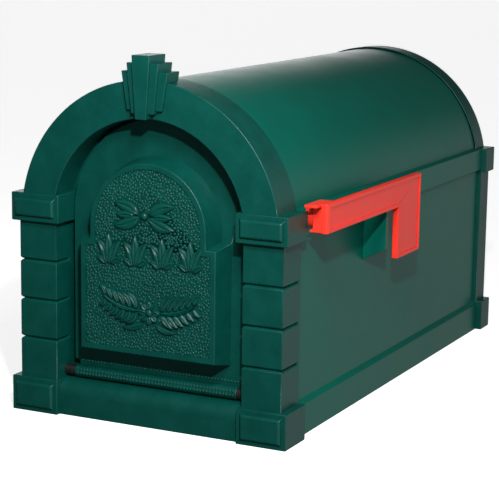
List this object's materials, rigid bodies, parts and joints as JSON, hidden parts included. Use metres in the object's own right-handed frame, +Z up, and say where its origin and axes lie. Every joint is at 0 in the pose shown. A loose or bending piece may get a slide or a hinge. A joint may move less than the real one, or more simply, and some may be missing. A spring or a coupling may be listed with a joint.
{
  "type": "mailbox",
  "caption": "Post-mounted mailbox: cast arched front with columns and a drop-down door, barrel roof, flat sides with rails, and a red L-shaped signal flag.",
  "frame": {"origin": "middle of the four mounting holes, on the underside of the floor plate", "axes": "+Z up, door toward -Y, flag side +X, +Y toward the rear frame"},
  "size_m": [0.2865, 0.5397, 0.3214],
  "materials": {
    "green_casting": "dark green powder coat on cast aluminium, semi-gloss, slightly pebbled",
    "green_sheet": "dark green powder coat on sheet and extrusion, semi-gloss",
    "flag_red": "bright red enamel on cast aluminium, semi-gloss",
    "nylon": "black nylon",
    "black_plastic": "moulded black plastic",
    "magnet": "ferrite magnet",
    "rubber": "black rubber button",
    "rivet_aluminium": "plain aluminium rivet",
    "stainless": "stainless steel, satin"
  },
  "bodies": {
    "mailbox": {"catch_housing": "black_plastic", "catch_magnet": "magnet", "catch_screw_1": "stainless", "catch_screw_2": "stainless", "door_bumper_left": "rubber", "door_bumper_right": "rubber", "flag_bush": "nylon", "flag_rest": "green_sheet", "flag_spring_washer": "stainless", "flag_thrust_washer": "nylon", "floor_plate": "green_sheet", "floor_screw_left_1": "stainless", "floor_screw_left_2": "stainless", "floor_screw_left_3": "stainless", "floor_screw_right_1": "stainless", "floor_screw_right_2": "stainless", "floor_screw_right_3": "stainless", "front_frame": "green_casting", "hinge_pin_left": "stainless", "hinge_pin_right": "stainless", "keystone": "green_casting", "keystone_screw": "stainless", "rear_frame": "green_casting", "rear_panel": "green_sheet", "rear_rivet_1": "rivet_aluminium", "rear_rivet_2": "rivet_aluminium", "rear_rivet_3": "rivet_aluminium", "rear_rivet_4": "rivet_aluminium", "rest_screw_1": "stainless", "rest_screw_2": "stainless", "side_panel_left": "green_sheet", "side_panel_right": "green_sheet", "tie_nut_high_left": "stainless", "tie_nut_high_right": "stainless", "tie_nut_low_left": "stainless", "tie_nut_low_right": "stainless", "tie_rod_high_left": "stainless", "tie_rod_high_right": "stainless", "tie_rod_low_left": "stainless", "tie_rod_low_right": "stainless", "tie_washer_high_left": "stainless", "tie_washer_high_right": "stainless", "tie_washer_low_left": "stainless", "tie_washer_low_right": "stainless", "vault_sheet": "green_sheet"},
    "door": {"door": "green_casting", "hinge_bush_left": "nylon", "hinge_bush_right": "nylon", "strike_plate": "stainless", "strike_rivet_1": "rivet_aluminium", "strike_rivet_2": "rivet_aluminium"},
    "flag": {"flag": "flag_red", "flag_bolt": "stainless"}
  },
  "joints": [
    {"name": "door_hinge", "type": "hinge", "parent": "mailbox", "child": "door", "pos_m": [0, -0.23875, 0.0175], "axis": [1, 0, 0], "range_deg": [0, 110]},
    {"name": "flag_pivot", "type": "hinge", "parent": "mailbox", "child": "flag", "pos_m": [0.1345, -0.20975, 0.171], "axis": [1, 0, 0], "range_deg": [0, 90]}
  ]
}
